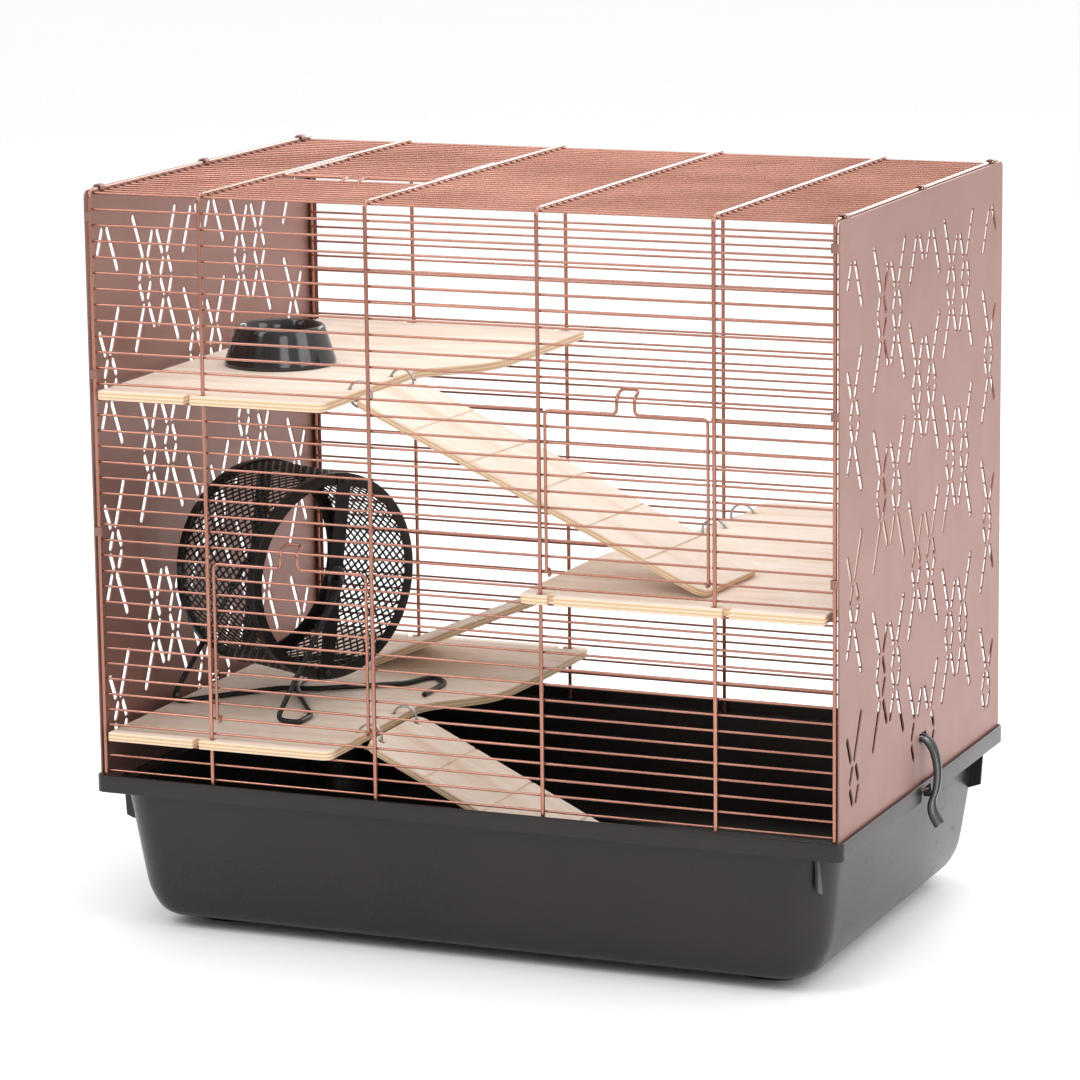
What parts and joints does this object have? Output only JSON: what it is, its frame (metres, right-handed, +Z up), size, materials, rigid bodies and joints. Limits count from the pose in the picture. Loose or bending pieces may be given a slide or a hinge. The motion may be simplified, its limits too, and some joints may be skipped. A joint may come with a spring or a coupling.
{
  "type": "hamster cage",
  "caption": "Two-storey wire hamster cage on a deep plastic tray, with plywood shelves, hanging ramps, a running wheel, a bowl, hinged doors and side clips.",
  "frame": {"origin": "middle of the footprint, at the level the tray's feet stand on", "axes": "+Z up, +X to the right along the cage's length, -Y towards the wall that carries the two front doors"},
  "size_m": [0.6034, 0.382, 0.5523],
  "materials": {
    "tray_plastic": "smooth moulded, satin gloss",
    "copper_wire": "metallic copper paint",
    "panel_steel": "satin rose-copper paint on pressed sheet",
    "clip_plastic": "smooth moulded",
    "plywood": "sanded raw plywood",
    "ring_steel": "bright plated",
    "black_steel": "black powder coat",
    "bowl_glaze": "gloss black"
  },
  "bodies": {
    "cage": {"tray": "tray_plastic", "front_grid": "copper_wire", "rear_grid": "copper_wire", "roof_grid": "copper_wire", "hoop_1": "copper_wire", "hoop_2": "copper_wire", "hoop_3": "copper_wire", "hoop_4": "copper_wire", "right_panel": "panel_steel", "left_panel": "panel_steel", "upper_left_shelf": "plywood", "lower_left_shelf": "plywood", "right_shelf": "plywood"},
    "upper_door": {"upper_front_door": "copper_wire"},
    "lower_door": {"lower_front_door": "copper_wire"},
    "hatch": {"roof_hatch": "copper_wire"},
    "right_clip": {"right_clip": "clip_plastic"},
    "left_clip": {"left_clip": "clip_plastic"},
    "upper_ramp": {"upper_ramp": "plywood", "upper_ramp_front_ring": "ring_steel", "upper_ramp_rear_ring": "ring_steel"},
    "lower_ramp": {"lower_ramp": "plywood", "lower_ramp_front_ring": "ring_steel", "lower_ramp_rear_ring": "ring_steel"},
    "middle_ramp": {"middle_ramp": "plywood", "middle_ramp_front_ring": "ring_steel", "middle_ramp_rear_ring": "ring_steel"},
    "stand": {"wheel_stand": "black_steel"},
    "wheel": {"wheel_mesh_drum": "black_steel", "wheel_near_rim": "black_steel", "wheel_far_rim": "black_steel", "wheel_near_bar": "black_steel", "wheel_far_bar": "black_steel"},
    "bowl": {"food_bowl": "bowl_glaze"}
  },
  "joints": [
    {"name": "upper_door_hinge", "type": "hinge", "parent": "cage", "child": "upper_door", "pos_m": [0.13035, -0.1818, 0.29352], "axis": [1, 0, 0], "range_deg": [0, 110]},
    {"name": "lower_door_hinge", "type": "hinge", "parent": "cage", "child": "lower_door", "pos_m": [-0.13035, -0.1818, 0.16658], "axis": [1, 0, 0], "range_deg": [0, 110]},
    {"name": "roof_hatch_hinge", "type": "hinge", "parent": "cage", "child": "hatch", "pos_m": [-0.13035, 0.0561, 0.5468], "axis": [-1, 0, 0], "range_deg": [0, 150]},
    {"name": "right_clip_hinge", "type": "hinge", "parent": "cage", "child": "right_clip", "pos_m": [0.2863, 0, 0.151], "axis": [0, -1, 0], "range_deg": [0, 40]},
    {"name": "left_clip_hinge", "type": "hinge", "parent": "cage", "child": "left_clip", "pos_m": [-0.2863, 0, 0.151], "axis": [0, 1, 0], "range_deg": [0, 40]},
    {"name": "upper_ramp_hinge", "type": "hinge", "parent": "cage", "child": "upper_ramp", "pos_m": [-0.0955, -0.096, 0.40187], "axis": [-0.0785, -0.9969, 0], "range_deg": [0, 45]},
    {"name": "lower_ramp_hinge", "type": "hinge", "parent": "cage", "child": "lower_ramp", "pos_m": [-0.0955, -0.096, 0.14793], "axis": [0, -1, 0], "range_deg": [0, 45]},
    {"name": "middle_ramp_hinge", "type": "hinge", "parent": "cage", "child": "middle_ramp", "pos_m": [0.0955, 0.113, 0.27487], "axis": [0, 1, 0], "range_deg": [0, 40]},
    {"name": "wheel_lift", "type": "slide", "parent": "cage", "child": "stand", "axis": [0, 0, 1], "range_m": [0, 0.06]},
    {"name": "wheel_spin", "type": "hinge", "parent": "stand", "child": "wheel", "pos_m": [-0.203, -0.024, 0.24689], "axis": [0.9085, -0.4179, 0], "continuous": true},
    {"name": "bowl_lift", "type": "slide", "parent": "cage", "child": "bowl", "axis": [0, 0, 1], "range_m": [0, 0.09]}
  ]
}
